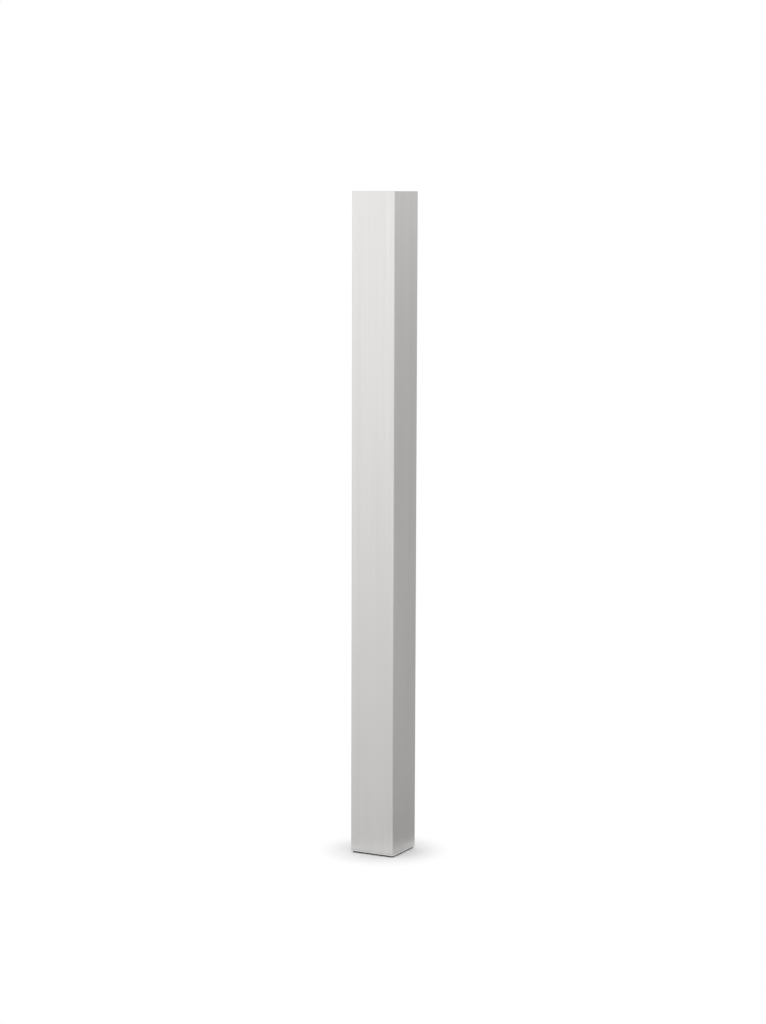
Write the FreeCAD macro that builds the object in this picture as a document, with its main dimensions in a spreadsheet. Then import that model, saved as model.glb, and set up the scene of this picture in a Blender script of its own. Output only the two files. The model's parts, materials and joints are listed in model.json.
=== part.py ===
import FreeCAD, Part
import os

import Sketcher

# Square metal table leg with a clamped mounting plate and a levelling foot.
# The origin is on the floor under the middle of the leg, and +Z runs up the leg.

# Driving sizes in millimetres
SIZES = {
    # Leg and tube
    "leg_side": 60,
    "leg_height": 820,
    "tube_wall": 1.5,
    "tube_corner": 2,
    "tube_inner_corner": 0.5,
    "deburr": 0.3,
    # Mounting plate
    "plate_clearance": 0.3,
    "plate_depth": 28,
    "plate_base": 4,
    "plate_corner": 3,
    "plate_lead": 0.8,
    "skirt_wall": 3,
    "skirt_fillet": 2,
    "screw_inset": 7.2,
    "screw_hole": 5.2,
    "screw_head": 10,
    "screw_head_angle": 90,
    "plate_rib": 2.5,
    "plate_rib_depth": 7,
    "strip_width": 6,
    "strip_length": 20,
    "strip_apart": 30,
    "strip_drop": 3,
    # Clamp screws and their blocks in the plate
    "clamp_drop": 16,
    "clamp_thread": 8,
    "clamp_length": 10,
    "clamp_chamfer": 0.8,
    "clamp_socket": 4,
    "clamp_socket_depth": 5,
    "key_hole": 5,
    "block_width": 14,
    "block_reach": 11,
    "thread_clearance": 0.05,
    # Foot insert
    "flange_inset": 0.1,
    "flange_thickness": 2,
    "plug_gap": 1.1,
    "plug_height": 32,
    "plug_wall": 1.9,
    "plug_corner": 2,
    "plug_lead": 1.2,
    "fin_gap": 0.05,
    "fin_thickness": 1.2,
    "fin_count": 4,
    "fin_margin": 4,
    "fin_corner_cut": 3.5,
    "web_thickness": 3,
    "boss_wall": 2.6,
    "insert_rib": 2,
    "insert_rib_height": 14,
    # Nut
    "nut_flats": 16,
    "nut_height": 8.4,
    "nut_sink": 2,
    "nut_gap": 0.05,
    "nut_roof": 4,
    "nut_chamfer_angle": 30,
    # Spindle
    "spindle_thread": 10,
    "spindle_tip": 1.2,
    "spindle_spare": 3,
    "spindle_play": 0.3,
    "head_diameter": 20,
    "head_thickness": 3,
    "head_edge": 0.4,
    "spindle_socket": 6,
    "spindle_socket_depth": 6,
    # Pad
    "travel": 20,
    "pad_proud": 2,
    "pad_gap": 0.5,
    "pad_headroom": 0.2,
    "pad_floor": 2,
    "pad_rim": 2.2,
    "pad_corner": 3,
    "sole_inset": 1.5,
    "sole_chamfer": 0.5,
    "pad_key_hole": 9,
    "head_lift": 0.05,
    "head_play": 0.3,
    "lip_reach": 1,
    "lip_rise": 0.25,
    "lip_height": 1.65,
    "ring_wall": 2.4,
    "ring_slit": 1.4,
    "pad_rib": 1.8,
    "pad_rib_height": 3.2,
}

# Sizes that follow from the driving ones, written as expressions of the sheet
TUBE_LENGTH = "(sizes.leg_height - sizes.pad_proud - sizes.flange_thickness)"
TUBE_INSIDE = "(sizes.leg_side - 2 * sizes.tube_wall)"
PLATE_SIDE = f"({TUBE_INSIDE} - 2 * sizes.plate_clearance)"
SKIRT_INSIDE = f"({PLATE_SIDE} - 2 * sizes.skirt_wall)"
SKIRT_MIDDLE = f"({PLATE_SIDE} - sizes.skirt_wall)"
SCREW_SPACING = f"({SKIRT_INSIDE} - 2 * sizes.screw_inset)"
PLUG_SIDE = f"({TUBE_INSIDE} - 2 * sizes.plug_gap)"
PLUG_INSIDE = f"({PLUG_SIDE} - 2 * sizes.plug_wall)"
PLUG_MIDDLE = f"({PLUG_SIDE} - sizes.plug_wall)"
FIN_SIDE = f"({TUBE_INSIDE} - 2 * sizes.fin_gap)"
FIN_SPAN = "(sizes.plug_height - 2 * sizes.fin_margin - sizes.fin_thickness)"
PAD_SIDE = f"({PLUG_INSIDE} - 2 * sizes.pad_gap)"
HEAD_ROOM = "(sizes.head_thickness + 2 * sizes.head_lift)"
PAD_THICKNESS = f"(sizes.pad_floor + {HEAD_ROOM} + sizes.lip_rise + sizes.lip_height)"
SOLE_SIDE = "(sizes.leg_side - 2 * sizes.sole_inset)"
SOLE_THICKNESS = "(sizes.pad_proud - sizes.pad_headroom)"
RECESS_DEPTH = f"({PAD_THICKNESS} - {SOLE_THICKNESS})"
WEB_TOP = f"({RECESS_DEPTH} + sizes.web_thickness)"
NUT_SEAT = f"({RECESS_DEPTH} + sizes.nut_sink)"
NUT_TOP = f"({NUT_SEAT} + sizes.nut_height)"
BOSS_TOP = f"({NUT_TOP} + sizes.nut_roof)"
BOSS_DIAMETER = "(2 / sqrt(3) * sizes.nut_flats + 2 * sizes.boss_wall)"
HEAD_SEAT = "(sizes.pad_floor + sizes.head_lift)"
SPINDLE_LENGTH = f"(sizes.pad_proud + {NUT_TOP} + sizes.travel + sizes.spindle_spare - {HEAD_SEAT})"
SOCKET_DIAMETER = "(sizes.head_diameter + 2 * sizes.head_play)"
LIP_DIAMETER = f"({SOCKET_DIAMETER} - 2 * sizes.lip_reach)"
RING_DIAMETER = f"({SOCKET_DIAMETER} + 2 * sizes.ring_wall)"

# A square leg repeats itself at each quarter turn, and its diagonals lie half way between
QUARTERS = 4
DIAGONAL = 45
TINY = 1e-4

doc = FreeCAD.newDocument("table_leg")
sheet = doc.addObject("Spreadsheet::Sheet", "sizes")
for row, (alias, number) in enumerate(SIZES.items(), 1):
    sheet.set(f"A{row}", str(number))
    sheet.setAlias(f"A{row}", alias)
doc.recompute()


def value(expression):
    """Number that an expression of the sheet stands for."""
    return float(sheet.evalExpression(expression))


# Sketches

def new_body(label):
    body = doc.addObject("PartDesign::Body", label)
    body.Label = label
    return body


def origin_item(body, role):
    return next(item for item in body.Origin.OriginFeatures if item.Role == role)


def new_sketch(body, name, height="0", plane="XY_Plane", turn=0):
    """Sketch on a plane of the body's origin, raised along its normal and turned about it."""
    sketch = body.newObject("Sketcher::SketchObject", name)
    sketch.AttachmentSupport = [(origin_item(body, plane), "")]
    sketch.MapMode = "FlatFace"
    turned = FreeCAD.Rotation(FreeCAD.Vector(0, 0, 1), turn)
    sketch.AttachmentOffset = FreeCAD.Placement(FreeCAD.Vector(), turned)
    sketch.setExpression("AttachmentOffset.Base.z", height)
    return sketch


def bind(sketch, constraint, expression):
    index = sketch.addConstraint(constraint)
    sketch.setExpression(f"Constraints[{index}]", expression)


def hold_point(sketch, geometry, end, x, y):
    """Ties a point of the sketch to two expressions, measured from the sketch's origin."""
    bind(sketch, Sketcher.Constraint("DistanceX", -1, 1, geometry, end, value(x)), x)
    bind(sketch, Sketcher.Constraint("DistanceY", -1, 1, geometry, end, value(y)), y)


def draw_polygon(sketch, points):
    """Closed outline through points given as pairs of expressions."""
    corners = [FreeCAD.Vector(value(x), value(y), 0) for x, y in points]
    first = sketch.GeometryCount
    count = len(points)
    for index in range(count):
        sketch.addGeometry(Part.LineSegment(corners[index], corners[(index + 1) % count]))
    for index in range(count):
        following = first + (index + 1) % count
        sketch.addConstraint(Sketcher.Constraint("Coincident", first + index, 2, following, 1))
        hold_point(sketch, first + index, 1, *points[index])


def draw_box(sketch, left, right, low, high):
    draw_polygon(sketch, [(left, low), (right, low), (right, high), (left, high)])


def draw_square(sketch, side):
    draw_box(sketch, f"-{side} / 2", f"{side} / 2", f"-{side} / 2", f"{side} / 2")


def draw_cut_square(sketch, side, cut):
    """Square with its corners cut off."""
    half = f"{side} / 2"
    short = f"({side} / 2 - {cut})"
    draw_polygon(sketch, [
        (f"-{short}", f"-{half}"), (short, f"-{half}"),
        (half, f"-{short}"), (half, short),
        (short, half), (f"-{short}", half),
        (f"-{half}", short), (f"-{half}", f"-{short}"),
    ])


def draw_hexagon(sketch, flats):
    corners = [f"{60 * step} deg" for step in range(6)]
    draw_polygon(sketch, [
        (f"{flats} / sqrt(3) * cos({angle})", f"{flats} / sqrt(3) * sin({angle})")
        for angle in corners
    ])


def draw_circle(sketch, diameter, x="0", y="0"):
    centre = FreeCAD.Vector(value(x), value(y), 0)
    upright = FreeCAD.Vector(0, 0, 1)
    index = sketch.addGeometry(Part.Circle(centre, upright, value(diameter) / 2))
    hold_point(sketch, index, 3, x, y)
    bind(sketch, Sketcher.Constraint("Diameter", index, value(diameter)), diameter)


# Features

def pad(body, name, sketch, length, down=False):
    feature = body.newObject("PartDesign::Pad", name)
    feature.Profile = sketch
    feature.setExpression("Length", length)
    feature.Reversed = down
    doc.recompute()
    return feature


def must_cut(body, name, before):
    if body.Shape.Volume > before - TINY:
        raise RuntimeError(f"{name} cuts nothing")


def pocket(body, name, sketch, length=None, ahead=False):
    """Cut against the sketch's normal, or along it where ahead, through all where no length is given."""
    before = body.Shape.Volume
    feature = body.newObject("PartDesign::Pocket", name)
    feature.Profile = sketch
    feature.Reversed = ahead
    if length is None:
        feature.Type = "ThroughAll"
    else:
        feature.setExpression("Length", length)
    doc.recompute()
    must_cut(body, name, before)
    return feature


def turn_profile(body, name, sketch, kind):
    """Revolution or Groove of a profile about the sketch's upright axis."""
    before = body.Shape.Volume if kind == "Groove" else None
    feature = body.newObject(f"PartDesign::{kind}", name)
    feature.Profile = sketch
    feature.ReferenceAxis = (sketch, ["V_Axis"])
    feature.Angle = 360
    doc.recompute()
    if before is not None:
        must_cut(body, name, before)
    return feature


def repeat_around(body, name, feature):
    """Copies of a feature at each quarter turn about the leg's axis."""
    pattern = body.newObject("PartDesign::PolarPattern", name)
    pattern.Originals = [feature]
    pattern.Axis = (origin_item(body, "Z_Axis"), [""])
    pattern.Angle = 360
    pattern.Occurrences = QUARTERS
    body.Tip = pattern
    doc.recompute()
    return pattern


def corner_edges(shape, side):
    """Upright edges at the four corners of a square of this side."""
    half = value(side) / 2
    names = []
    for number, edge in enumerate(shape.Edges, 1):
        ends = [vertex.Point for vertex in edge.Vertexes]
        upright = len(ends) == 2 and abs(abs(ends[0].z - ends[1].z) - edge.Length) < TINY
        if upright and all(abs(abs(part) - half) < TINY for part in (ends[0].x, ends[0].y)):
            names.append(f"Edge{number}")
    return names


def outline_edges(shape, height):
    """Edges round the outside of the widest flat face at this height."""
    level = value(height)
    flat = [face for face in shape.Faces
            if abs(face.BoundBox.ZMin - level) < TINY and abs(face.BoundBox.ZMax - level) < TINY]
    widest = max(flat, key=lambda face: face.BoundBox.DiagonalLength)
    outline = widest.OuterWire.Edges
    return [f"Edge{number}" for number, edge in enumerate(shape.Edges, 1)
            if any(edge.isSame(other) for other in outline)]


def dress(body, name, kind, edges, size):
    """Fillet or Chamfer of the given size on edges of the body's last feature."""
    base = body.Tip
    if not edges:
        raise RuntimeError(f"{name} finds no edge")
    feature = body.newObject(f"PartDesign::{kind}", name)
    feature.Base = (base, edges)
    feature.setExpression("Radius" if kind == "Fillet" else "Size", size)
    doc.recompute()
    return feature


def round_corners(body, name, side, radius):
    return dress(body, name, "Fillet", corner_edges(body.Tip.Shape, side), radius)


def chamfer_outline(body, name, height, size):
    return dress(body, name, "Chamfer", outline_edges(body.Tip.Shape, height), size)


def place(body, x="0", y="0", z="0", rotation=None):
    body.Placement = FreeCAD.Placement(FreeCAD.Vector(), rotation or FreeCAD.Rotation())
    for axis, expression in zip("xyz", (x, y, z)):
        body.setExpression(f"Placement.Base.{axis}", expression)


# Square tube, with two hex key holes in the faces that stay out of sight

def build_leg_tube():
    body = new_body("leg_tube")
    section = new_sketch(body, "tube_section")
    draw_square(section, "sizes.leg_side")
    draw_square(section, TUBE_INSIDE)
    pad(body, "tube_pad", section, TUBE_LENGTH)
    round_corners(body, "tube_outer_corners", "sizes.leg_side", "sizes.tube_corner")
    round_corners(body, "tube_inner_corners", TUBE_INSIDE, "sizes.tube_inner_corner")
    for name, height in (("tube_foot_deburr", "0"), ("tube_top_deburr", TUBE_LENGTH)):
        chamfer_outline(body, name, height, "sizes.deburr")
    for name, plane in (("key_hole_left", "YZ_Plane"), ("key_hole_back", "XZ_Plane")):
        outline = new_sketch(body, f"{name}_outline", plane=plane)
        draw_circle(outline, "sizes.key_hole", y=f"{TUBE_LENGTH} - sizes.clamp_drop")
        pocket(body, name, outline)
    place(body, z="sizes.pad_proud + sizes.flange_thickness")
    return body


# Die-cast mounting plate, modelled downwards from its top face

def build_mounting_plate():
    body = new_body("mounting_plate")
    block = new_sketch(body, "plate_outline")
    draw_square(block, PLATE_SIDE)
    pad(body, "plate_pad", block, "sizes.plate_depth", down=True)
    round_corners(body, "plate_corners", PLATE_SIDE, "sizes.plate_corner")

    hollow = new_sketch(body, "skirt_outline", "-sizes.plate_depth")
    draw_square(hollow, SKIRT_INSIDE)
    skirt_depth = "sizes.plate_depth - sizes.plate_base"
    pocket(body, "skirt_hollow", hollow, skirt_depth, ahead=True)
    round_corners(body, "skirt_corners", SKIRT_INSIDE, "sizes.skirt_fillet")

    # Blocks that carry the clamp screws, cast into the left and back walls
    blocks = new_sketch(body, "block_outlines", "-sizes.plate_base")
    half_block = "sizes.block_width / 2"
    outer = f"{SKIRT_MIDDLE} / 2"
    inner = f"({PLATE_SIDE} / 2 - sizes.block_reach)"
    draw_box(blocks, f"-{outer}", f"-{inner}", f"-{half_block}", half_block)
    draw_box(blocks, f"-{half_block}", half_block, inner, outer)
    pad(body, "clamp_blocks", blocks, skirt_depth, down=True)

    # Stiffening ribs that cross under the middle of the plate
    half_rib = "sizes.plate_rib / 2"
    for name, across, along in (("rib_across", outer, half_rib), ("rib_along", half_rib, outer)):
        rib = new_sketch(body, f"{name}_outline", "-sizes.plate_base")
        draw_box(rib, f"-{across}", across, f"-{along}", along)
        pad(body, name, rib, "sizes.plate_rib_depth", down=True)

    # Strips on the front and right walls, which the clamp screws pull the tube against
    strips = new_sketch(body, "strip_outlines", "-sizes.strip_drop")
    reach = f"{TUBE_INSIDE} / 2"
    for side in ("-", ""):
        middle = f"{side}sizes.strip_apart / 2"
        low = f"{middle} - sizes.strip_width / 2"
        high = f"{middle} + sizes.strip_width / 2"
        draw_box(strips, outer, reach, low, high)
        draw_box(strips, low, high, f"-{reach}", f"-{outer}")
    pad(body, "contact_strips", strips, "sizes.strip_length", down=True)
    chamfer_outline(body, "plate_lead_in", "-sizes.plate_depth", "sizes.plate_lead")

    # Countersunk holes for four wood screws, driven upwards
    screw = new_sketch(body, "screw_place", "-sizes.plate_base")
    draw_circle(screw, "sizes.screw_hole", f"{SCREW_SPACING} / 2", f"{SCREW_SPACING} / 2")
    doc.recompute()
    hole = body.newObject("PartDesign::Hole", "screw_hole")
    hole.Profile = screw
    hole.Reversed = True
    hole.DepthType = "ThroughAll"
    hole.HoleCutType = "Countersink"
    hole.HoleCutCustomValues = True
    hole.setExpression("Diameter", "sizes.screw_hole")
    hole.setExpression("HoleCutDiameter", "sizes.screw_head")
    hole.setExpression("HoleCutCountersinkAngle", "sizes.screw_head_angle")
    before = body.Shape.Volume
    doc.recompute()
    must_cut(body, "screw_hole", before)
    repeat_around(body, "screw_holes", hole)

    for name, plane in (("clamp_hole_left", "YZ_Plane"), ("clamp_hole_back", "XZ_Plane")):
        outline = new_sketch(body, f"{name}_outline", plane=plane)
        bore = "sizes.clamp_thread + 2 * sizes.thread_clearance"
        draw_circle(outline, bore, y="-sizes.clamp_drop")
        pocket(body, name, outline)
    place(body, z="sizes.leg_height")
    return body


# Grub screws, modelled with the socket end at the origin, facing +Z

def build_clamp_screw(label, rotation, **position):
    body = new_body(label)
    outline = new_sketch(body, f"{label}_outline")
    draw_circle(outline, "sizes.clamp_thread")
    pad(body, f"{label}_shank", outline, "sizes.clamp_length", down=True)
    for end, height in (("outer", "0"), ("inner", "-sizes.clamp_length")):
        chamfer_outline(body, f"{label}_{end}_end", height, "sizes.clamp_chamfer")
    socket = new_sketch(body, f"{label}_socket_outline")
    draw_hexagon(socket, "sizes.clamp_socket")
    pocket(body, f"{label}_socket", socket, "sizes.clamp_socket_depth")
    place(body, z="sizes.leg_height - sizes.clamp_drop", rotation=rotation, **position)
    return body


# Moulded insert pressed into the foot of the tube, modelled upwards from its flange

def build_foot_insert():
    body = new_body("foot_insert")
    flange = new_sketch(body, "flange_outline")
    flange_side = "(sizes.leg_side - 2 * sizes.flange_inset)"
    draw_square(flange, flange_side)
    pad(body, "flange_pad", flange, "sizes.flange_thickness")
    round_corners(body, "flange_corners", flange_side, "sizes.tube_corner - sizes.flange_inset")

    plug = new_sketch(body, "plug_outline", "sizes.flange_thickness")
    draw_square(plug, PLUG_SIDE)
    pad(body, "plug_pad", plug, "sizes.plug_height")
    round_corners(body, "plug_corners", PLUG_SIDE, "sizes.plug_corner")
    plug_top = "sizes.flange_thickness + sizes.plug_height"
    chamfer_outline(body, "plug_lead_in", plug_top, "sizes.plug_lead")

    # Thin fins that grip the tube's walls, left out at its corners
    fin = new_sketch(body, "fin_outline", "sizes.flange_thickness + sizes.fin_margin")
    draw_cut_square(fin, FIN_SIDE, "sizes.fin_corner_cut")
    fin_pad = pad(body, "fin_pad", fin, "sizes.fin_thickness")
    fins = body.newObject("PartDesign::LinearPattern", "fins")
    fins.Originals = [fin_pad]
    fins.Direction = (origin_item(body, "Z_Axis"), [""])
    fins.setExpression("Length", FIN_SPAN)
    fins.setExpression("Occurrences", "sizes.fin_count")
    body.Tip = fins
    doc.recompute()

    hollow = new_sketch(body, "plug_hollow_outline", WEB_TOP)
    draw_square(hollow, PLUG_INSIDE)
    pocket(body, "plug_hollow", hollow, ahead=True)

    # Boss over the nut, with ribs that carry its load out to the walls
    boss = new_sketch(body, "boss_outline", WEB_TOP)
    draw_circle(boss, BOSS_DIAMETER)
    pad(body, "boss", boss, f"{BOSS_TOP} - {WEB_TOP}")
    span = f"{PLUG_MIDDLE} / 2"
    half_rib = "sizes.insert_rib / 2"
    for name, across, along in (("web_across", span, half_rib), ("web_along", half_rib, span)):
        rib = new_sketch(body, f"{name}_outline", WEB_TOP)
        draw_box(rib, f"-{across}", across, f"-{along}", along)
        pad(body, name, rib, "sizes.insert_rib_height")

    # Square recess for the pad, the nut's pocket in its roof, and the spindle's way through
    recess = new_sketch(body, "recess_outline")
    draw_square(recess, PLUG_INSIDE)
    pocket(body, "pad_recess", recess, RECESS_DEPTH, ahead=True)
    nut_pocket = new_sketch(body, "nut_pocket_outline", RECESS_DEPTH)
    draw_hexagon(nut_pocket, "(sizes.nut_flats + 2 * sizes.nut_gap)")
    pocket(body, "nut_pocket", nut_pocket, "sizes.nut_sink + sizes.nut_height", ahead=True)
    way = new_sketch(body, "spindle_way_outline", RECESS_DEPTH)
    draw_circle(way, "sizes.spindle_thread + 2 * sizes.spindle_play")
    pocket(body, "spindle_way", way, ahead=True)
    place(body, z="sizes.pad_proud")
    return body


def build_spindle_nut():
    body = new_body("spindle_nut")
    outline = new_sketch(body, "nut_outline")
    draw_hexagon(outline, "sizes.nut_flats")
    pad(body, "nut_pad", outline, "sizes.nut_height")

    # Both ends are turned off to a cone that leaves a round bearing face.
    # The cut reaches out past the corners of the hexagon.
    face = "sizes.nut_flats / 2"
    clear = "sizes.nut_flats * 2 / 3"
    rise = f"({clear} - {face}) * tan(sizes.nut_chamfer_angle * 1 deg)"
    turning = new_sketch(body, "nut_turning", plane="XZ_Plane")
    draw_polygon(turning, [(face, "0"), (clear, "0"), (clear, rise)])
    top = "sizes.nut_height"
    draw_polygon(turning, [(face, top), (clear, top), (clear, f"{top} - {rise}")])
    turn_profile(body, "nut_chamfers", turning, "Groove")

    bore = new_sketch(body, "nut_bore_outline")
    draw_circle(bore, "sizes.spindle_thread + 2 * sizes.thread_clearance")
    pocket(body, "nut_bore", bore, ahead=True)
    place(body, z=f"sizes.pad_proud + {NUT_SEAT}")
    return body


def build_foot_spindle():
    body = new_body("foot_spindle")
    profile = new_sketch(body, "spindle_profile", plane="XZ_Plane")
    shank = "sizes.spindle_thread / 2"
    head = "sizes.head_diameter / 2"
    draw_polygon(profile, [
        ("0", "0"),
        (f"{head} - sizes.head_edge", "0"),
        (head, "sizes.head_edge"),
        (head, "sizes.head_thickness - sizes.head_edge"),
        (f"{head} - sizes.head_edge", "sizes.head_thickness"),
        (shank, "sizes.head_thickness"),
        (shank, f"{SPINDLE_LENGTH} - sizes.spindle_tip"),
        (f"{shank} - sizes.spindle_tip", SPINDLE_LENGTH),
        ("0", SPINDLE_LENGTH),
    ])
    turn_profile(body, "spindle_turned", profile, "Revolution")
    socket = new_sketch(body, "spindle_socket_outline")
    draw_hexagon(socket, "sizes.spindle_socket")
    pocket(body, "spindle_socket", socket, "sizes.spindle_socket_depth", ahead=True)
    place(body, z=HEAD_SEAT)
    return body


# Moulded pad with a thin sole nearly as wide as the leg, a block that nests in the insert,
# and a snap socket for the head of the spindle

def build_foot_pad():
    body = new_body("foot_pad")
    sole = new_sketch(body, "sole_outline")
    draw_square(sole, SOLE_SIDE)
    pad(body, "sole", sole, SOLE_THICKNESS)
    round_corners(body, "sole_corners", SOLE_SIDE, "sizes.pad_corner")
    chamfer_outline(body, "sole_edge", "0", "sizes.sole_chamfer")
    outline = new_sketch(body, "pad_outline")
    draw_square(outline, PAD_SIDE)
    pad(body, "pad_block", outline, PAD_THICKNESS)
    round_corners(body, "pad_corners", PAD_SIDE, "sizes.pad_corner")

    hollow = new_sketch(body, "pad_hollow_outline", PAD_THICKNESS)
    pad_inside = f"({PAD_SIDE} - 2 * sizes.pad_rim)"
    draw_square(hollow, pad_inside)
    pocket(body, "pad_hollow", hollow, f"{PAD_THICKNESS} - sizes.pad_floor")

    ring = new_sketch(body, "ring_outline", "sizes.pad_floor")
    draw_circle(ring, RING_DIAMETER)
    pad(body, "socket_ring", ring, f"{PAD_THICKNESS} - sizes.pad_floor")

    rib = new_sketch(body, "pad_rib_outline", "sizes.pad_floor", turn=DIAGONAL)
    start = f"{RING_DIAMETER} / 2 - sizes.ring_wall / 2"
    half_rib = "sizes.pad_rib / 2"
    draw_box(rib, start, f"{pad_inside} / sqrt(2)", f"-{half_rib}", half_rib)
    rib_pad = pad(body, "pad_rib", rib, "sizes.pad_rib_height")
    repeat_around(body, "pad_ribs", rib_pad)

    # Socket with a lip that snaps over the head, and a flared mouth
    socket = new_sketch(body, "socket_profile", plane="XZ_Plane")
    room_top = f"sizes.pad_floor + {HEAD_ROOM}"
    lip_start = f"{PAD_THICKNESS} - sizes.lip_height"
    wide = f"{SOCKET_DIAMETER} / 2"
    narrow = f"{LIP_DIAMETER} / 2"
    draw_polygon(socket, [
        ("0", "sizes.pad_floor"),
        (wide, "sizes.pad_floor"),
        (wide, room_top),
        (narrow, lip_start),
        (wide, PAD_THICKNESS),
        ("0", PAD_THICKNESS),
    ])
    turn_profile(body, "snap_socket", socket, "Groove")

    slit = new_sketch(body, "slit_outline", PAD_THICKNESS)
    half_slit = "sizes.ring_slit / 2"
    beyond = f"{RING_DIAMETER} / 2 + sizes.ring_wall / 2"
    draw_box(slit, f"{narrow} - sizes.lip_reach", beyond, f"-{half_slit}", half_slit)
    slit_cut = pocket(body, "slit", slit, f"{PAD_THICKNESS} - sizes.pad_floor")
    repeat_around(body, "slits", slit_cut)

    key = new_sketch(body, "pad_key_outline")
    draw_circle(key, "sizes.pad_key_hole")
    pocket(body, "pad_key_hole", key, "sizes.pad_floor", ahead=True)
    place(body)
    return body


to_left = FreeCAD.Rotation(FreeCAD.Vector(0, 1, 0), -90)
to_back = FreeCAD.Rotation(FreeCAD.Vector(1, 0, 0), -90)
sub_parts = [
    build_leg_tube(),
    build_mounting_plate(),
    build_clamp_screw("clamp_screw_left", to_left, x=f"-{TUBE_INSIDE} / 2"),
    build_clamp_screw("clamp_screw_back", to_back, y=f"{TUBE_INSIDE} / 2"),
    build_foot_insert(),
    build_spindle_nut(),
    build_foot_spindle(),
    build_foot_pad(),
]
doc.recompute()

# Nothing is written unless every feature is sound
for item in doc.Objects:
    if "Invalid" in item.State or "Error" in item.State:
        raise RuntimeError(f"{item.Name} failed")
for sub_part in sub_parts:
    if sub_part.Shape.isNull() or not sub_part.Shape.isValid():
        raise RuntimeError(f"{sub_part.Label} has no sound shape")

os.makedirs("parts", exist_ok=True)
for sub_part in sub_parts:
    sub_part.Shape.exportStep(f"parts/{sub_part.Label}.step")
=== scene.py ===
import json
import math

import bmesh
import bpy
from mathutils import Matrix, Vector

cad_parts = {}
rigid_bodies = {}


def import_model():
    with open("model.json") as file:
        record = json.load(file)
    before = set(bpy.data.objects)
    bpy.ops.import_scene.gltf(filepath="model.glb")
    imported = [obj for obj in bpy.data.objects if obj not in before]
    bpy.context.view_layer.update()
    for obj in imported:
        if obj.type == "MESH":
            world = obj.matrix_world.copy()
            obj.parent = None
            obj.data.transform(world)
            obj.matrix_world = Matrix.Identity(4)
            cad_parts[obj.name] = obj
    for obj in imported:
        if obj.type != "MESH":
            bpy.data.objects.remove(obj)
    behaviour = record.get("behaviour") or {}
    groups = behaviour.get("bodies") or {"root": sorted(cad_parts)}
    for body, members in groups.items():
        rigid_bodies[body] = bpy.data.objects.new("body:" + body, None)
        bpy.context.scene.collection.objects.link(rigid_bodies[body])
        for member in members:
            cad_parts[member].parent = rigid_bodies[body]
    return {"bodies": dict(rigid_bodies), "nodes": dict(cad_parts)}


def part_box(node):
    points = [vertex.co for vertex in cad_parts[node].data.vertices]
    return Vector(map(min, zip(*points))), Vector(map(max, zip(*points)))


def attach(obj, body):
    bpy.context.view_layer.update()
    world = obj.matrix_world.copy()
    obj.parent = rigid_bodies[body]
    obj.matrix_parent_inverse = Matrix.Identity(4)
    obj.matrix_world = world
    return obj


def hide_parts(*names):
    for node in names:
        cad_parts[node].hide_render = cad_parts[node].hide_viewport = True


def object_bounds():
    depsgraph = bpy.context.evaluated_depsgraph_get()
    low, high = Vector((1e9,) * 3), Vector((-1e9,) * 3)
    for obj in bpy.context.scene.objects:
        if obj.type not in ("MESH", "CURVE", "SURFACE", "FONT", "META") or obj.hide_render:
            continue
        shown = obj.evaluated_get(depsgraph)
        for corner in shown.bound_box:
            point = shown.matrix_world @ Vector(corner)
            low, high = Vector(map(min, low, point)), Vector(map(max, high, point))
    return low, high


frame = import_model()
cad_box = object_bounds()

# Square metal table leg. Lengths are in metres, angles in degrees.

# Photograph and camera, from a perspective fit to the edges of the leg
IMAGE_HEIGHT = 1024
FOCAL_PIXELS = 2535.84
SENSOR = 36.0                # millimetres
CAMERA_AZIMUTH = 27.859
CAMERA_DISTANCE = 3.1066
CAMERA_HEIGHT = 0.8104
CAMERA_PITCH = 7.036
CAMERA_PAN = 0.025
CAMERA_ROLL = 0.186

# Tube
TUBE_WALL = 0.0015
TUBE_CORNER = 0.002
TUBE_INNER_CORNER = 0.0005
TUBE_DEBURR = 0.0003
CORNER_STEPS = 10
CORNER_SUPPORT = 0.0004
KEY_HOLE_RADIUS = 0.0025
KEY_HOLE_DROP = 0.016
KEY_HOLE_STEPS = 48
TUBE_SHARP_ANGLE = 30

# Screws
RING_STEPS = 72
ROWS_PER_PITCH = 14
THREAD_DEPTH = 0.6134        # share of the pitch
THREAD_ROOT = 0.25           # share of the pitch that is flat at the bottom of the groove
THREAD_FLANKS = 0.625        # share of the pitch that slopes
SCREW_SHARP_ANGLE = 35
SPINDLE_RADIUS = 0.005
SPINDLE_PITCH = 0.0015
SPINDLE_NECK = 0.002
SPINDLE_TIP = 0.0012
SPINDLE_SOCKET = 0.006
SPINDLE_SOCKET_DEPTH = 0.006
HEAD_THICKNESS = 0.003
HEAD_EDGE = 0.0004
CLAMP_PITCH = 0.00125
CLAMP_CHAMFER = 0.0008
CLAMP_SOCKET = 0.004
CLAMP_SOCKET_DEPTH = 0.005

# Studio
AMBIENT = 0.95
# Grey of the floor near the leg, white further out: a painted shade pool round the foot, on top of the
# leg's real shadow
FLOOR_SHADE_GREY = 0.88
FLOOR_REACH = 20.0
FLOOR_LAP = 0.0016           # how far the floor reaches under the pad's edge
FLOOR_GAP = 0.0001           # between the pad and the floor
FADE_START = 0.03            # distance from the leg's axis at which the floor starts to turn white
FADE_END = 0.09
SOFTBOX_PLACE = (-1.6, -2.6, 1.7)
SOFTBOX_WIDTH = 5.0
SOFTBOX_HEIGHT = 3.0
SOFTBOX_POWER = 20.0
CARD_LIFT = 0.002            # of a card's near edge above the floor
# Cards seen only in reflections: painted shade on the leg's right face and on the lower part of its left
# face
SHADE_AZIMUTH = 100
SHADE_NEAR = 0.052
SHADE_FAR = 1.23
SHADE_WIDTH = 4.0
SHADE_HEIGHT = 0.84
SHADE_GREY = 0.555
FRONT_NEAR = 0.06
FRONT_FAR = 1.5
FRONT_WIDTH = 2.0
FRONT_HEIGHT = 0.12
FRONT_SHADE_GREY = 0.735

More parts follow.
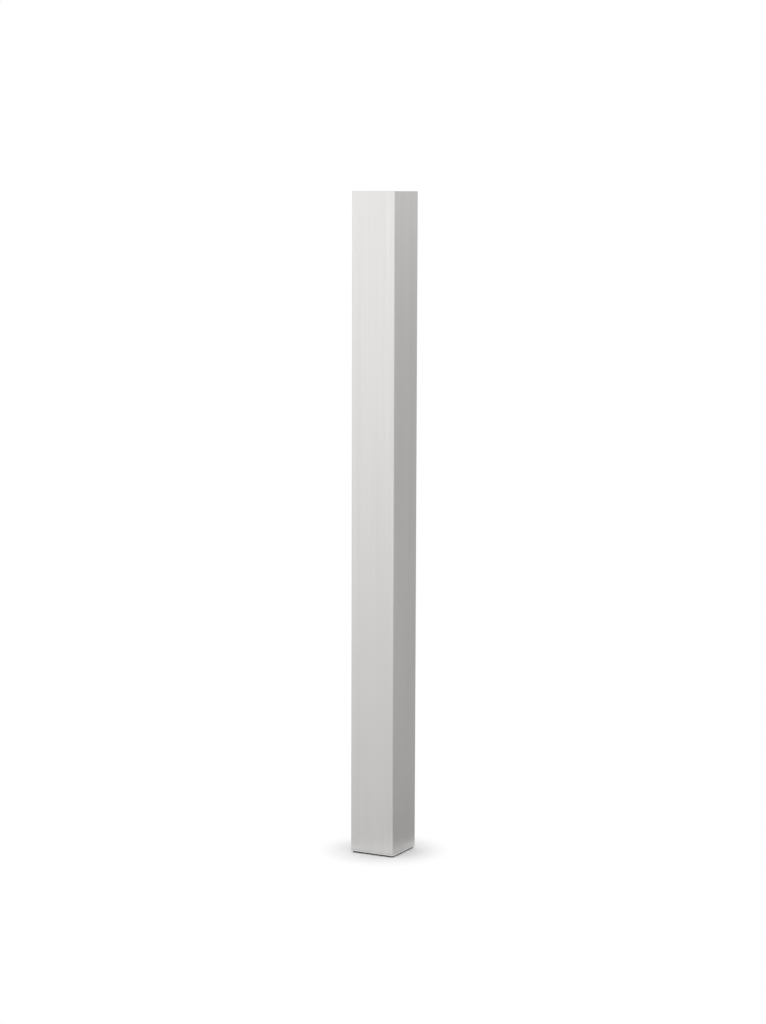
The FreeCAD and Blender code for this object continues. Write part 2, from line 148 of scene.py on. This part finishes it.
# Noise: nearly all of it lies between the low and the high value, and its few highest spots are worn
NOISE_LOW = 0.3
NOISE_HIGH = 0.7
NOISE_LIGHT = 0.64
NOISE_WORN = 0.74


# Materials

def new_material(name):
    """Material with its node tree, its main shader, and object coordinates to feed the textures."""
    material = bpy.data.materials.new(name)
    material.use_nodes = True
    tree = material.node_tree
    shader = tree.nodes["Principled BSDF"]
    coordinates = tree.nodes.new("ShaderNodeTexCoord").outputs["Object"]
    return material, tree, shader, coordinates


def add_noise(tree, coordinates, scale, detail=3.0, stretch=(1.0, 1.0, 1.0)):
    mapping = tree.nodes.new("ShaderNodeMapping")
    mapping.inputs["Scale"].default_value = stretch
    noise = tree.nodes.new("ShaderNodeTexNoise")
    noise.inputs["Scale"].default_value = scale
    noise.inputs["Detail"].default_value = detail
    tree.links.new(coordinates, mapping.inputs["Vector"])
    tree.links.new(mapping.outputs["Vector"], noise.inputs["Vector"])
    return noise.outputs["Fac"]


def spread(tree, source, target, low, high):
    """Maps the middle of a noise, where nearly all of it lies, to a range of a socket."""
    ranged = tree.nodes.new("ShaderNodeMapRange")
    ranged.inputs["From Min"].default_value = NOISE_LOW
    ranged.inputs["From Max"].default_value = NOISE_HIGH
    ranged.inputs["To Min"].default_value = low
    ranged.inputs["To Max"].default_value = high
    tree.links.new(source, ranged.inputs["Value"])
    tree.links.new(ranged.outputs["Result"], target)


def tint(tree, source, target, dark, light, worn):
    """Colours a socket between two colours by a noise, and its few highest spots as worn."""
    ramp = tree.nodes.new("ShaderNodeValToRGB")
    stops = ramp.color_ramp.elements
    stops[0].position = NOISE_LOW
    stops[0].color = (*dark, 1.0)
    stops[1].position = NOISE_WORN
    stops[1].color = (*worn, 1.0)
    stops.new(NOISE_LIGHT).color = (*light, 1.0)
    tree.links.new(source, ramp.inputs["Fac"])
    tree.links.new(ramp.outputs["Color"], target)


def grey(level, cool=0.0):
    """Grey with a little less red and more blue, or the other way round where cool is below zero."""
    return (level - cool, level, level + cool)


def add_bump(tree, source, target, depth, strength):
    bump = tree.nodes.new("ShaderNodeBump")
    bump.inputs["Distance"].default_value = depth
    bump.inputs["Strength"].default_value = strength
    tree.links.new(source, bump.inputs["Height"])
    tree.links.new(bump.outputs["Normal"], target)


def satin_steel():
    """Silver grey metal with faint streaks and a very fine grain along the leg."""
    material, tree, shader, coordinates = new_material("satin_steel")
    shader.inputs["Metallic"].default_value = 1.0
    streaks = add_noise(tree, coordinates, scale=150.0, stretch=(1.0, 1.0, 0.02))
    tint(tree, streaks, shader.inputs["Base Color"],
         dark=grey(0.645, -0.008), light=grey(0.672, -0.008), worn=grey(0.70, -0.008))
    grain = add_noise(tree, coordinates, scale=2600.0, detail=2.0, stretch=(1.0, 1.0, 0.012))
    spread(tree, grain, shader.inputs["Roughness"], low=0.40, high=0.48)
    add_bump(tree, grain, shader.inputs["Normal"], depth=0.00002, strength=0.12)
    return material


def cast_aluminium():
    """Grey die-cast skin with the clouds of its flow."""
    material, tree, shader, coordinates = new_material("cast_aluminium")
    shader.inputs["Metallic"].default_value = 1.0
    flow = add_noise(tree, coordinates, scale=220.0, detail=4.0)
    tint(tree, flow, shader.inputs["Base Color"],
         dark=grey(0.505, 0.005), light=grey(0.545, 0.005), worn=grey(0.58, 0.005))
    skin = add_noise(tree, coordinates, scale=1400.0)
    spread(tree, skin, shader.inputs["Roughness"], low=0.42, high=0.62)
    add_bump(tree, skin, shader.inputs["Normal"], depth=0.00006, strength=0.35)
    return material


def zinc_steel():
    """Bright zinc plating, a little blue."""
    material, tree, shader, coordinates = new_material("zinc_steel")
    shader.inputs["Metallic"].default_value = 1.0
    cloud = add_noise(tree, coordinates, scale=260.0)
    tint(tree, cloud, shader.inputs["Base Color"],
         dark=grey(0.615, 0.015), light=grey(0.69, 0.02), worn=grey(0.75, 0.01))
    spread(tree, cloud, shader.inputs["Roughness"], low=0.22, high=0.34)
    fine = add_noise(tree, coordinates, scale=4000.0, detail=2.0)
    add_bump(tree, fine, shader.inputs["Normal"], depth=0.00001, strength=0.2)
    return material


def black_steel():
    """Blackened steel, rubbed bright in spots."""
    material, tree, shader, coordinates = new_material("black_steel")
    shader.inputs["Metallic"].default_value = 1.0
    cloud = add_noise(tree, coordinates, scale=500.0)
    tint(tree, cloud, shader.inputs["Base Color"],
         dark=grey(0.036, 0.002), light=grey(0.062, 0.003), worn=grey(0.132, 0.003))
    spread(tree, cloud, shader.inputs["Roughness"], low=0.3, high=0.45)
    fine = add_noise(tree, coordinates, scale=3500.0, detail=2.0)
    add_bump(tree, fine, shader.inputs["Normal"], depth=0.00001, strength=0.25)
    return material


def moulded_plastic(name, dark, light, worn):
    """Matt plastic with the fine sparked texture of its mould."""
    material, tree, shader, coordinates = new_material(name)
    shader.inputs["Specular IOR Level"].default_value = 0.4
    cloud = add_noise(tree, coordinates, scale=60.0)
    tint(tree, cloud, shader.inputs["Base Color"], dark, light, worn)
    texture = add_noise(tree, coordinates, scale=2200.0)
    spread(tree, texture, shader.inputs["Roughness"], low=0.46, high=0.62)
    add_bump(tree, texture, shader.inputs["Normal"], depth=0.00004, strength=0.4)
    return material


# Meshes

def new_object(name, mesh, material):
    piece = bpy.data.objects.new(name, mesh)
    bpy.context.scene.collection.objects.link(piece)
    mesh.materials.append(material)
    return piece


def shade_smooth(mesh, sharp_angle):
    mesh.polygons.foreach_set("use_smooth", [True] * len(mesh.polygons))
    mesh.set_sharp_from_angle(angle=math.radians(sharp_angle))


def rounded_square(half, radius):
    """Points round a square with arcs at its corners, and a support point on each side of an arc."""
    points = []
    for quarter in range(4):
        turn = math.pi / 2 * quarter
        arc = [(radius * math.cos(math.pi / 2 * step / CORNER_STEPS) + half - radius,
                radius * math.sin(math.pi / 2 * step / CORNER_STEPS) + half - radius)
               for step in range(CORNER_STEPS + 1)]
        before = (half, half - radius - CORNER_SUPPORT)
        after = (half - radius - CORNER_SUPPORT, half)
        for x, y in [before, *arc, after]:
            points.append((x * math.cos(turn) - y * math.sin(turn),
                           x * math.sin(turn) + y * math.cos(turn)))
    return points


def skin_rings(rings, closed=False, capped=False):
    """Mesh over rings of equally many points: closed on itself, capped at both ends, or open."""
    mesh_data = bmesh.new()
    rows = [[mesh_data.verts.new(point) for point in ring] for ring in rings]
    count = len(rows[0])
    pairs = list(zip(rows, rows[1:]))
    if closed:
        pairs.append((rows[-1], rows[0]))
    for lower, upper in pairs:
        for index in range(count):
            after = (index + 1) % count
            mesh_data.faces.new((lower[index], lower[after], upper[after], upper[index]))
    if capped:
        mesh_data.faces.new(list(reversed(rows[0])))
        mesh_data.faces.new(rows[-1])
    bmesh.ops.recalc_face_normals(mesh_data, faces=mesh_data.faces[:])
    return mesh_data


def to_mesh(mesh_data, name):
    mesh = bpy.data.meshes.new(name)
    mesh_data.to_mesh(mesh)
    mesh_data.free()
    return mesh


def at_height(points, height):
    return [(x, y, height) for x, y in points]


def tube_mesh(name):
    """The tube with true round corners, broken end edges and two hex key holes."""
    low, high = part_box("leg_tube")
    half = (high[0] - low[0]) / 2
    foot, top = low[2], high[2]
    inner = rounded_square(half - TUBE_WALL, TUBE_INNER_CORNER)
    outer = rounded_square(half, TUBE_CORNER)
    broken = rounded_square(half - TUBE_DEBURR, TUBE_CORNER - TUBE_DEBURR)
    rings = [
        at_height(inner, foot), at_height(broken, foot), at_height(outer, foot + TUBE_DEBURR),
        at_height(outer, top - TUBE_DEBURR), at_height(broken, top), at_height(inner, top),
    ]
    tube = bpy.data.objects.new(name, to_mesh(skin_rings(rings, closed=True), name))
    bpy.context.scene.collection.objects.link(tube)

    # One cutter for each hole, from inside the tube out of its left face and out of its back face
    cutters = []
    for axis, turn in (("Y", -90), ("X", -90)):
        around = [2 * math.pi * step / KEY_HOLE_STEPS for step in range(KEY_HOLE_STEPS)]
        circle = [(KEY_HOLE_RADIUS * math.cos(a), KEY_HOLE_RADIUS * math.sin(a)) for a in around]
        ends = (half - 2 * TUBE_WALL, half + TUBE_WALL)
        rod = skin_rings([at_height(circle, end) for end in ends], capped=True)
        bmesh.ops.rotate(rod, verts=rod.verts[:], matrix=Matrix.Rotation(math.radians(turn), 3, axis))
        bmesh.ops.translate(rod, verts=rod.verts[:], vec=(0, 0, top - KEY_HOLE_DROP))
        cutter = bpy.data.objects.new("cutter", to_mesh(rod, "cutter"))
        bpy.context.scene.collection.objects.link(cutter)
        cut = tube.modifiers.new("key_hole", "BOOLEAN")
        cut.operation = "DIFFERENCE"
        cut.object = cutter
        cutters.append(cutter)
    graph = bpy.context.evaluated_depsgraph_get()
    mesh = bpy.data.meshes.new_from_object(tube.evaluated_get(graph))
    for helper in [tube, *cutters]:
        bpy.data.objects.remove(helper)
    shade_smooth(mesh, TUBE_SHARP_ANGLE)
    return mesh


def circle_ring(radius, height):
    return [(radius * math.cos(2 * math.pi * step / RING_STEPS),
             radius * math.sin(2 * math.pi * step / RING_STEPS), height) for step in range(RING_STEPS)]


def hexagon_ring(flats, height):
    ring = []
    for step in range(RING_STEPS):
        angle = 2 * math.pi * step / RING_STEPS
        radius = flats / 2 / math.cos(angle % (math.pi / 3) - math.pi / 6)
        ring.append((radius * math.cos(angle), radius * math.sin(angle), height))
    return ring


def thread_ring(radius, pitch, height, limit):
    """Ring through a right-hand thread of standard form, no wider than a limit."""
    depth = THREAD_DEPTH * pitch
    ring = []
    for step in range(RING_STEPS):
        angle = 2 * math.pi * step / RING_STEPS
        phase = (height / pitch - angle / (2 * math.pi)) % 1.0
        rise = (abs(2 * phase - 1) - THREAD_ROOT) / THREAD_FLANKS
        reach = min(radius - depth + depth * min(max(rise, 0.0), 1.0), limit)
        ring.append((reach * math.cos(angle), reach * math.sin(angle), height))
    return ring


def thread_rings(radius, pitch, low, high, low_limit, high_limit):
    """Rings of a thread between two heights, chamfered to a smaller radius at each end."""
    rows = math.ceil((high - low) / pitch * ROWS_PER_PITCH)
    rings = []
    for row in range(rows + 1):
        height = low + (high - low) * row / rows
        limit = min(low_limit + height - low, high_limit + high - height)
        rings.append(thread_ring(radius, pitch, height, limit))
    return rings


def spindle_mesh(name):
    low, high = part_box("foot_spindle")
    foot, top = low[2], high[2]
    head = (high[0] - low[0]) / 2
    socket_top = foot + SPINDLE_SOCKET_DEPTH
    head_top = foot + HEAD_THICKNESS
    core = SPINDLE_RADIUS - THREAD_DEPTH * SPINDLE_PITCH
    rings = [
        hexagon_ring(SPINDLE_SOCKET, socket_top),
        hexagon_ring(SPINDLE_SOCKET, foot),
        circle_ring(head - HEAD_EDGE, foot),
        circle_ring(head, foot + HEAD_EDGE),
        circle_ring(head, head_top - HEAD_EDGE),
        circle_ring(head - HEAD_EDGE, head_top),
        circle_ring(core, head_top),
    ]
    rings += thread_rings(SPINDLE_RADIUS, SPINDLE_PITCH, head_top + SPINDLE_NECK, top,
                          core, SPINDLE_RADIUS - SPINDLE_TIP)
    mesh = to_mesh(skin_rings(rings, capped=True), name)
    shade_smooth(mesh, SCREW_SHARP_ANGLE)
    return mesh


def clamp_screw_mesh(node, outward):
    """Grub screw along a level axis, with its hex socket at the outward end."""
    low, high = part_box(node)
    size = high - low
    radius = size.z / 2
    half = abs(size.dot(outward)) / 2
    end = radius - CLAMP_CHAMFER
    rings = thread_rings(radius, CLAMP_PITCH, -half, half, end, end)
    rings += [hexagon_ring(CLAMP_SOCKET, half), hexagon_ring(CLAMP_SOCKET, half - CLAMP_SOCKET_DEPTH)]
    body = skin_rings(rings, capped=True)
    turn = Vector((0, 0, 1)).rotation_difference(outward).to_matrix().to_4x4()
    bmesh.ops.transform(body, matrix=Matrix.Translation((low + high) / 2) @ turn, verts=body.verts[:])
    mesh = to_mesh(body, node)
    shade_smooth(mesh, SCREW_SHARP_ANGLE)
    return mesh


# Pieces

steel = satin_steel()
tube = new_object("tube_satin", tube_mesh("tube_satin"), steel)
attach(tube, "leg")
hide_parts("leg_tube")

zinc = zinc_steel()
spindle = new_object("spindle_threaded", spindle_mesh("spindle_threaded"), zinc)
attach(spindle, "spindle")
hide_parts("foot_spindle")

black = black_steel()
for node, outward in (("clamp_screw_left", (-1, 0, 0)), ("clamp_screw_back", (0, 1, 0))):
    screw = new_object(node + "_threaded", clamp_screw_mesh(node, Vector(outward)), black)
    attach(screw, "leg")
    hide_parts(node)

finishes = {
    "mounting_plate": cast_aluminium(),
    "foot_insert": moulded_plastic("grey_plastic", grey(0.58), grey(0.63), grey(0.68)),
    "spindle_nut": zinc,
    "foot_pad": moulded_plastic("black_plastic", grey(0.023, 0.001), grey(0.033, 0.001), grey(0.06)),
}
for node, finish in finishes.items():
    frame["nodes"][node].material_slots[0].material = finish


# Studio

def seen_directly(tree):
    """1 for a ray from the camera, a reflection or a clear material, and 0 for a ray that lights."""
    rays = tree.nodes.new("ShaderNodeLightPath")
    seen = rays.outputs["Is Camera Ray"]
    for kind in ("Is Glossy Ray", "Is Transmission Ray"):
        either = tree.nodes.new("ShaderNodeMath")
        either.operation = "MAXIMUM"
        tree.links.new(seen, either.inputs[0])
        tree.links.new(rays.outputs[kind], either.inputs[1])
        seen = either.outputs[0]
    return seen


def set_world():
    """White where it is seen, and softer as a light."""
    world = bpy.data.worlds.new("studio")
    bpy.context.scene.world = world
    world.use_nodes = True
    tree = world.node_tree
    strength = tree.nodes.new("ShaderNodeMapRange")
    strength.inputs["To Min"].default_value = AMBIENT
    strength.inputs["To Max"].default_value = 1.0
    tree.links.new(seen_directly(tree), strength.inputs["Value"])
    background = tree.nodes["Background"]
    background.inputs["Color"].default_value = (1.0, 1.0, 1.0, 1.0)
    tree.links.new(strength.outputs["Result"], background.inputs["Strength"])


def mix_shaders(tree, share, first, second):
    mix = tree.nodes.new("ShaderNodeMixShader")
    tree.links.new(share, mix.inputs["Fac"])
    tree.links.new(first.outputs[0], mix.inputs[1])
    tree.links.new(second.outputs[0], mix.inputs[2])
    return mix


def floor_material():
    """Pale grey floor that takes the leg's shadow and adds a painted shade pool near the leg, fades to
    white away from it, and is clear from below.
    """
    material = bpy.data.materials.new("floor")
    material.use_nodes = True
    tree = material.node_tree
    shaded_floor = tree.nodes["Principled BSDF"]
    # Grey near the leg: painted shade round the foot, besides the real shadow it takes
    shaded_floor.inputs["Base Color"].default_value = (*grey(FLOOR_SHADE_GREY), 1.0)
    shaded_floor.inputs["Roughness"].default_value = 1.0
    shaded_floor.inputs["Specular IOR Level"].default_value = 0.0
    white = tree.nodes.new("ShaderNodeEmission")
    distance = tree.nodes.new("ShaderNodeVectorMath")
    distance.operation = "LENGTH"
    coordinates = tree.nodes.new("ShaderNodeTexCoord")
    tree.links.new(coordinates.outputs["Object"], distance.inputs[0])
    fade = tree.nodes.new("ShaderNodeMapRange")
    fade.interpolation_type = "SMOOTHSTEP"
    fade.inputs["From Min"].default_value = FADE_START
    fade.inputs["From Max"].default_value = FADE_END
    tree.links.new(distance.outputs["Value"], fade.inputs["Value"])
    share = tree.nodes.new("ShaderNodeMath")
    share.operation = "MULTIPLY"
    tree.links.new(fade.outputs["Result"], share.inputs[0])
    tree.links.new(seen_directly(tree), share.inputs[1])
    above = mix_shaders(tree, share.outputs["Value"], shaded_floor, white)
    below = tree.nodes.new("ShaderNodeBsdfTransparent")
    side = tree.nodes.new("ShaderNodeNewGeometry").outputs["Backfacing"]
    surface = mix_shaders(tree, side, above, below)
    tree.links.new(surface.outputs["Shader"], tree.nodes["Material Output"].inputs["Surface"])
    return material


def add_sheet(name, corners, faces, material):
    mesh = bpy.data.meshes.new(name)
    mesh.from_pydata(corners, [], faces)
    sheet = new_object(name, mesh, material)
    return sheet


def add_floor():
    """Floor that stays under the pad when the foot is screwed out, and is open where the pad covers it."""
    low = cad_box[0].z - FLOOR_GAP
    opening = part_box("foot_pad")[1].x - FLOOR_LAP
    corners = [(x * reach, y * reach, low) for reach in (FLOOR_REACH, opening)
               for x, y in ((-1, -1), (1, -1), (1, 1), (-1, 1))]
    faces = [(0, 1, 5, 4), (1, 2, 6, 5), (2, 3, 7, 6), (3, 0, 4, 7)]
    floor = add_sheet("floor", corners, faces, floor_material())
    floor.parent = frame["bodies"]["pad"]


def add_card(name, azimuth, near, far, width, height, level):
    """Grey card that slopes up from the floor, away from the leg, and shows only in reflections, as
    painted shade on the leg's metal faces.
    """
    material = bpy.data.materials.new(name)
    material.use_nodes = True
    shader = material.node_tree.nodes["Principled BSDF"]
    shader.inputs["Base Color"].default_value = (*grey(level), 1.0)
    shader.inputs["Roughness"].default_value = 1.0
    shader.inputs["Specular IOR Level"].default_value = 0.0
    turn = Matrix.Rotation(math.radians(azimuth), 3, "Z")
    outline = [(-width / 2, -near, CARD_LIFT), (width / 2, -near, CARD_LIFT),
               (width / 2, -far, height), (-width / 2, -far, height)]
    card = add_sheet(name, [turn @ Vector(corner) for corner in outline], [(0, 1, 2, 3)], material)
    card.visible_camera = False
    card.visible_diffuse = False
    card.visible_shadow = False
    card.visible_transmission = False


def add_softbox(name, place, width, height, power):
    """Large soft lamp that points at the middle of the leg."""
    light = bpy.data.lights.new(name, "AREA")
    light.shape = "RECTANGLE"
    light.size = width
    light.size_y = height
    light.energy = power
    lamp = bpy.data.objects.new(name, light)
    bpy.context.scene.collection.objects.link(lamp)
    low, high = cad_box
    aim = (Vector(low) + Vector(high)) / 2 - Vector(place)
    lamp.location = place
    lamp.rotation_euler = aim.to_track_quat("-Z", "Y").to_euler()


def add_camera():
    data = bpy.data.cameras.new("camera")
    data.sensor_fit = "VERTICAL"
    data.sensor_height = SENSOR
    data.lens = SENSOR * FOCAL_PIXELS / IMAGE_HEIGHT
    camera = bpy.data.objects.new("camera", data)
    bpy.context.scene.collection.objects.link(camera)
    azimuth = math.radians(CAMERA_AZIMUTH)
    heading = Matrix.Rotation(azimuth + math.radians(CAMERA_PAN), 4, "Z")
    pitch = Matrix.Rotation(math.radians(90 - CAMERA_PITCH), 4, "X")
    roll = Matrix.Rotation(math.radians(CAMERA_ROLL), 4, "Z")
    place = (CAMERA_DISTANCE * math.sin(azimuth), -CAMERA_DISTANCE * math.cos(azimuth), CAMERA_HEIGHT)
    camera.matrix_world = Matrix.Translation(place) @ heading @ pitch @ roll
    bpy.context.scene.camera = camera


add_floor()
set_world()
add_softbox("key", SOFTBOX_PLACE, SOFTBOX_WIDTH, SOFTBOX_HEIGHT, SOFTBOX_POWER)
# Grey cards that paint shade into the reflections on the leg's faces
add_card("shade_card", SHADE_AZIMUTH, SHADE_NEAR, SHADE_FAR, SHADE_WIDTH, SHADE_HEIGHT, SHADE_GREY)
add_card("front_shade_card", -CAMERA_AZIMUTH, FRONT_NEAR, FRONT_FAR, FRONT_WIDTH, FRONT_HEIGHT, FRONT_SHADE_GREY)
add_camera()
bpy.context.scene.view_settings.view_transform = "Standard"
